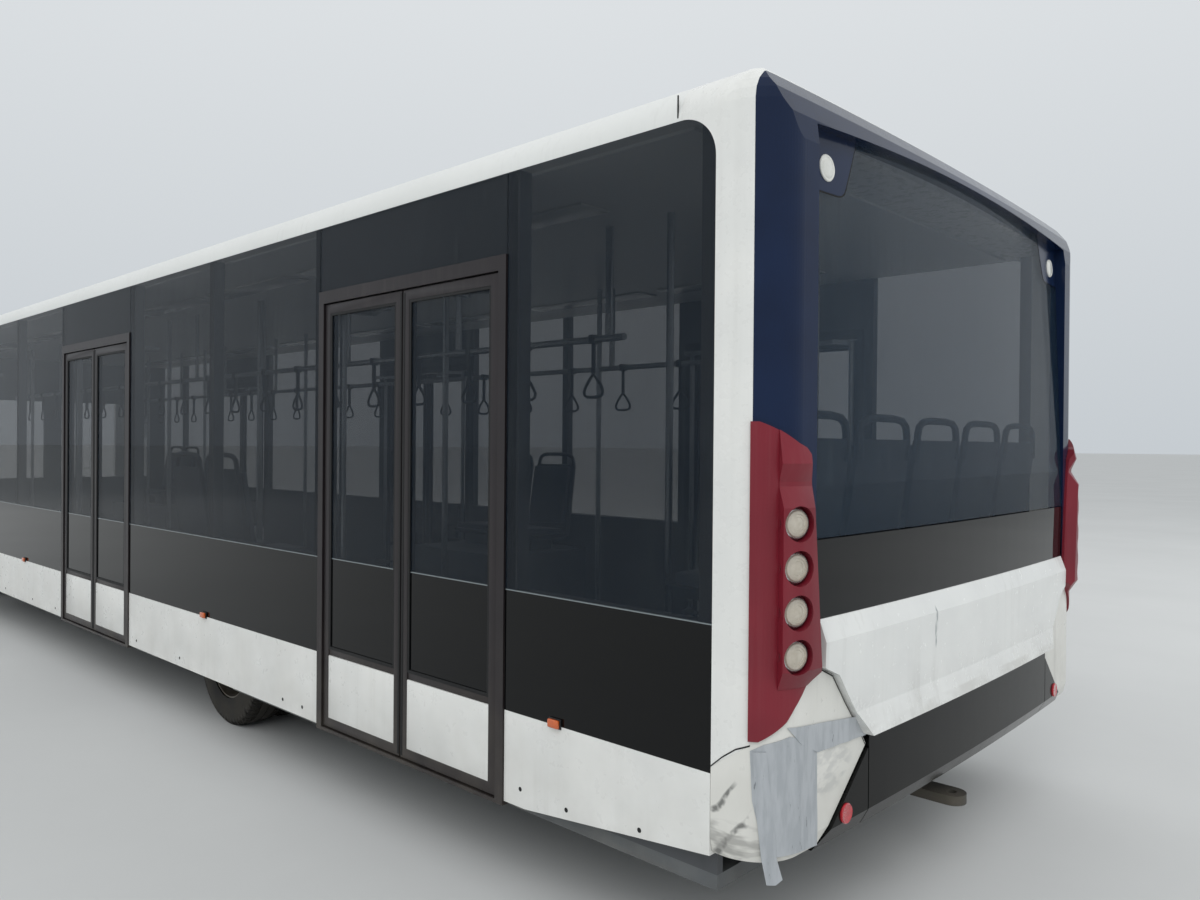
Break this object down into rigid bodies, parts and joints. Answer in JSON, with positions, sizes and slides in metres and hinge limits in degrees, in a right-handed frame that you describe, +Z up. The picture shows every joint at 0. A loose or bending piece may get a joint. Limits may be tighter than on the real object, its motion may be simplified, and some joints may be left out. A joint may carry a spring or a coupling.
{
  "type": "airport passenger bus",
  "caption": "Low-floor apron bus with wide double doors on both sides, a glazed body, hollow cabin, steered front wheels and twin rear wheels.",
  "frame": {"origin": "centre of the bounding box, on the ground", "axes": "+X forward along the body, +Y to the bus's left side, +Z up"},
  "size_m": [13.87, 3.64, 3.05],
  "materials": {
    "frame_paint": "satin",
    "engine_metal": "cast",
    "floor_covering": "matt, fine grain",
    "white_paint": "gloss, weathered",
    "wall_lining": "matt",
    "tinted_glass": "polished, tinted",
    "door_frame": "satin anodised look",
    "navy_gloss": "high gloss",
    "black_gloss": "high gloss",
    "burgundy": "satin, moulded",
    "lamp_lens": "clear lens over reflector",
    "black_plastic": "grained",
    "seat_plastic": "moulded shell with pads",
    "rail_metal": "brushed",
    "tyre_rubber": "rubber",
    "rim_paint": "dusty paint"
  },
  "bodies": {
    "root": {"chassis": "frame_paint", "floor": "floor_covering", "axles": "frame_paint", "engine": "engine_metal", "roof": "white_paint", "side_frames": "wall_lining", "side_glass": "tinted_glass", "skirts": "white_paint", "door_frames": "door_frame", "rear_hoop": "white_paint", "rear_surround": "navy_gloss", "rear_glazing": "tinted_glass", "rear_band": "white_paint", "rear_bumper": "black_gloss", "rear_corners": "white_paint", "lamp_panels": "burgundy", "lamps": "lamp_lens", "front_hoop": "white_paint", "windscreen": "tinted_glass", "front_mask": "white_paint", "front_bumper": "white_paint", "mirrors": "black_plastic", "seats": "seat_plastic", "grab_rails": "rail_metal", "cab_wall": "wall_lining", "dashboard": "black_plastic"},
    "arm_left_1_rear": {"arm_left_1_rear": "rail_metal"},
    "leaf_left_1_rear": {"leaf_left_1_rear": "door_frame"},
    "arm_left_1_front": {"arm_left_1_front": "rail_metal"},
    "leaf_left_1_front": {"leaf_left_1_front": "door_frame"},
    "arm_left_2_rear": {"arm_left_2_rear": "rail_metal"},
    "leaf_left_2_rear": {"leaf_left_2_rear": "door_frame"},
    "arm_left_2_front": {"arm_left_2_front": "rail_metal"},
    "leaf_left_2_front": {"leaf_left_2_front": "door_frame"},
    "arm_left_3_rear": {"arm_left_3_rear": "rail_metal"},
    "leaf_left_3_rear": {"leaf_left_3_rear": "door_frame"},
    "arm_left_3_front": {"arm_left_3_front": "rail_metal"},
    "leaf_left_3_front": {"leaf_left_3_front": "door_frame"},
    "arm_right_1_rear": {"arm_right_1_rear": "rail_metal"},
    "leaf_right_1_rear": {"leaf_right_1_rear": "door_frame"},
    "arm_right_1_front": {"arm_right_1_front": "rail_metal"},
    "leaf_right_1_front": {"leaf_right_1_front": "door_frame"},
    "arm_right_2_rear": {"arm_right_2_rear": "rail_metal"},
    "leaf_right_2_rear": {"leaf_right_2_rear": "door_frame"},
    "arm_right_2_front": {"arm_right_2_front": "rail_metal"},
    "leaf_right_2_front": {"leaf_right_2_front": "door_frame"},
    "arm_right_3_rear": {"arm_right_3_rear": "rail_metal"},
    "leaf_right_3_rear": {"leaf_right_3_rear": "door_frame"},
    "arm_right_3_front": {"arm_right_3_front": "rail_metal"},
    "leaf_right_3_front": {"leaf_right_3_front": "door_frame"},
    "knuckle_left": {"knuckle_left": "frame_paint"},
    "wheel_front_left": {"tyre_front_left": "tyre_rubber", "rim_front_left": "rim_paint"},
    "wheels_rear_left": {"tyre_rear_left": "tyre_rubber", "rim_rear_left": "rim_paint"},
    "knuckle_right": {"knuckle_right": "frame_paint"},
    "wheel_front_right": {"tyre_front_right": "tyre_rubber", "rim_front_right": "rim_paint"},
    "wheels_rear_right": {"tyre_rear_right": "tyre_rubber", "rim_rear_right": "rim_paint"}
  },
  "joints": [
    {"name": "door_left_1", "type": "hinge", "parent": "root", "child": "arm_left_1_rear", "pos_m": [2.202, 1.415, 1.5], "axis": [0, 0, 1], "range_deg": [0, 160]},
    {"name": "door_left_1_rear_leaf", "type": "hinge", "parent": "arm_left_1_rear", "child": "leaf_left_1_rear", "pos_m": [2.532, 1.39, 1.5], "axis": [0, 0, 1], "range_deg": [-160, 0]},
    {"name": "door_left_1_front_arm", "type": "hinge", "parent": "root", "child": "arm_left_1_front", "pos_m": [3.452, 1.415, 1.5], "axis": [0, 0, 1], "range_deg": [-160, 0]},
    {"name": "door_left_1_front_leaf", "type": "hinge", "parent": "arm_left_1_front", "child": "leaf_left_1_front", "pos_m": [3.122, 1.39, 1.5], "axis": [0, 0, 1], "range_deg": [0, 160]},
    {"name": "door_left_2", "type": "hinge", "parent": "root", "child": "arm_left_2_rear", "pos_m": [-1.688, 1.415, 1.5], "axis": [0, 0, 1], "range_deg": [0, 160]},
    {"name": "door_left_2_rear_leaf", "type": "hinge", "parent": "arm_left_2_rear", "child": "leaf_left_2_rear", "pos_m": [-1.358, 1.39, 1.5], "axis": [0, 0, 1], "range_deg": [-160, 0]},
    {"name": "door_left_2_front_arm", "type": "hinge", "parent": "root", "child": "arm_left_2_front", "pos_m": [-0.438, 1.415, 1.5], "axis": [0, 0, 1], "range_deg": [-160, 0]},
    {"name": "door_left_2_front_leaf", "type": "hinge", "parent": "arm_left_2_front", "child": "leaf_left_2_front", "pos_m": [-0.768, 1.39, 1.5], "axis": [0, 0, 1], "range_deg": [0, 160]},
    {"name": "door_left_3", "type": "hinge", "parent": "root", "child": "arm_left_3_rear", "pos_m": [-5.578, 1.415, 1.5], "axis": [0, 0, 1], "range_deg": [0, 160]},
    {"name": "door_left_3_rear_leaf", "type": "hinge", "parent": "arm_left_3_rear", "child": "leaf_left_3_rear", "pos_m": [-5.248, 1.39, 1.5], "axis": [0, 0, 1], "range_deg": [-160, 0]},
    {"name": "door_left_3_front_arm", "type": "hinge", "parent": "root", "child": "arm_left_3_front", "pos_m": [-4.328, 1.415, 1.5], "axis": [0, 0, 1], "range_deg": [-160, 0]},
    {"name": "door_left_3_front_leaf", "type": "hinge", "parent": "arm_left_3_front", "child": "leaf_left_3_front", "pos_m": [-4.658, 1.39, 1.5], "axis": [0, 0, 1], "range_deg": [0, 160]},
    {"name": "door_right_1", "type": "hinge", "parent": "root", "child": "arm_right_1_rear", "pos_m": [2.202, -1.415, 1.5], "axis": [0, 0, -1], "range_deg": [0, 160]},
    {"name": "door_right_1_rear_leaf", "type": "hinge", "parent": "arm_right_1_rear", "child": "leaf_right_1_rear", "pos_m": [2.532, -1.39, 1.5], "axis": [0, 0, -1], "range_deg": [-160, 0]},
    {"name": "door_right_1_front_arm", "type": "hinge", "parent": "root", "child": "arm_right_1_front", "pos_m": [3.452, -1.415, 1.5], "axis": [0, 0, -1], "range_deg": [-160, 0]},
    {"name": "door_right_1_front_leaf", "type": "hinge", "parent": "arm_right_1_front", "child": "leaf_right_1_front", "pos_m": [3.122, -1.39, 1.5], "axis": [0, 0, -1], "range_deg": [0, 160]},
    {"name": "door_right_2", "type": "hinge", "parent": "root", "child": "arm_right_2_rear", "pos_m": [-1.688, -1.415, 1.5], "axis": [0, 0, -1], "range_deg": [0, 160]},
    {"name": "door_right_2_rear_leaf", "type": "hinge", "parent": "arm_right_2_rear", "child": "leaf_right_2_rear", "pos_m": [-1.358, -1.39, 1.5], "axis": [0, 0, -1], "range_deg": [-160, 0]},
    {"name": "door_right_2_front_arm", "type": "hinge", "parent": "root", "child": "arm_right_2_front", "pos_m": [-0.438, -1.415, 1.5], "axis": [0, 0, -1], "range_deg": [-160, 0]},
    {"name": "door_right_2_front_leaf", "type": "hinge", "parent": "arm_right_2_front", "child": "leaf_right_2_front", "pos_m": [-0.768, -1.39, 1.5], "axis": [0, 0, -1], "range_deg": [0, 160]},
    {"name": "door_right_3", "type": "hinge", "parent": "root", "child": "arm_right_3_rear", "pos_m": [-5.578, -1.415, 1.5], "axis": [0, 0, -1], "range_deg": [0, 160]},
    {"name": "door_right_3_rear_leaf", "type": "hinge", "parent": "arm_right_3_rear", "child": "leaf_right_3_rear", "pos_m": [-5.248, -1.39, 1.5], "axis": [0, 0, -1], "range_deg": [-160, 0]},
    {"name": "door_right_3_front_arm", "type": "hinge", "parent": "root", "child": "arm_right_3_front", "pos_m": [-4.328, -1.415, 1.5], "axis": [0, 0, -1], "range_deg": [-160, 0]},
    {"name": "door_right_3_front_leaf", "type": "hinge", "parent": "arm_right_3_front", "child": "leaf_right_3_front", "pos_m": [-4.658, -1.39, 1.5], "axis": [0, 0, -1], "range_deg": [0, 160]},
    {"name": "steering", "type": "hinge", "parent": "root", "child": "knuckle_left", "pos_m": [4.406, 0.9275, 0.419], "axis": [0, 0, 1], "range_deg": [-36, 36]},
    {"name": "wheel_front_left_spin", "type": "hinge", "parent": "knuckle_left", "child": "wheel_front_left", "pos_m": [4.406, 1.1275, 0.419], "axis": [0, 1, 0], "continuous": true},
    {"name": "wheels_rear_left_spin", "type": "hinge", "parent": "root", "child": "wheels_rear_left", "pos_m": [-2.694, 1.1275, 0.419], "axis": [0, 1, 0], "continuous": true},
    {"name": "steering_right", "type": "hinge", "parent": "root", "child": "knuckle_right", "pos_m": [4.406, -0.9275, 0.419], "axis": [0, 0, 1], "range_deg": [-36, 36]},
    {"name": "wheel_front_right_spin", "type": "hinge", "parent": "knuckle_right", "child": "wheel_front_right", "pos_m": [4.406, -1.1275, 0.419], "axis": [0, 1, 0], "continuous": true},
    {"name": "wheels_rear_right_spin", "type": "hinge", "parent": "root", "child": "wheels_rear_right", "pos_m": [-2.694, -1.1275, 0.419], "axis": [0, 1, 0], "continuous": true}
  ],
  "couplings": [
    {"joint": "door_left_1_rear_leaf", "follows": "door_left_1", "ratio": -1},
    {"joint": "door_left_1_front_arm", "follows": "door_left_1", "ratio": -1},
    {"joint": "door_left_1_front_leaf", "follows": "door_left_1", "ratio": 1},
    {"joint": "door_left_2_rear_leaf", "follows": "door_left_2", "ratio": -1},
    {"joint": "door_left_2_front_arm", "follows": "door_left_2", "ratio": -1},
    {"joint": "door_left_2_front_leaf", "follows": "door_left_2", "ratio": 1},
    {"joint": "door_left_3_rear_leaf", "follows": "door_left_3", "ratio": -1},
    {"joint": "door_left_3_front_arm", "follows": "door_left_3", "ratio": -1},
    {"joint": "door_left_3_front_leaf", "follows": "door_left_3", "ratio": 1},
    {"joint": "door_right_1_rear_leaf", "follows": "door_right_1", "ratio": -1},
    {"joint": "door_right_1_front_arm", "follows": "door_right_1", "ratio": -1},
    {"joint": "door_right_1_front_leaf", "follows": "door_right_1", "ratio": 1},
    {"joint": "door_right_2_rear_leaf", "follows": "door_right_2", "ratio": -1},
    {"joint": "door_right_2_front_arm", "follows": "door_right_2", "ratio": -1},
    {"joint": "door_right_2_front_leaf", "follows": "door_right_2", "ratio": 1},
    {"joint": "door_right_3_rear_leaf", "follows": "door_right_3", "ratio": -1},
    {"joint": "door_right_3_front_arm", "follows": "door_right_3", "ratio": -1},
    {"joint": "door_right_3_front_leaf", "follows": "door_right_3", "ratio": 1},
    {"joint": "steering_right", "follows": "steering", "ratio": 1}
  ]
}
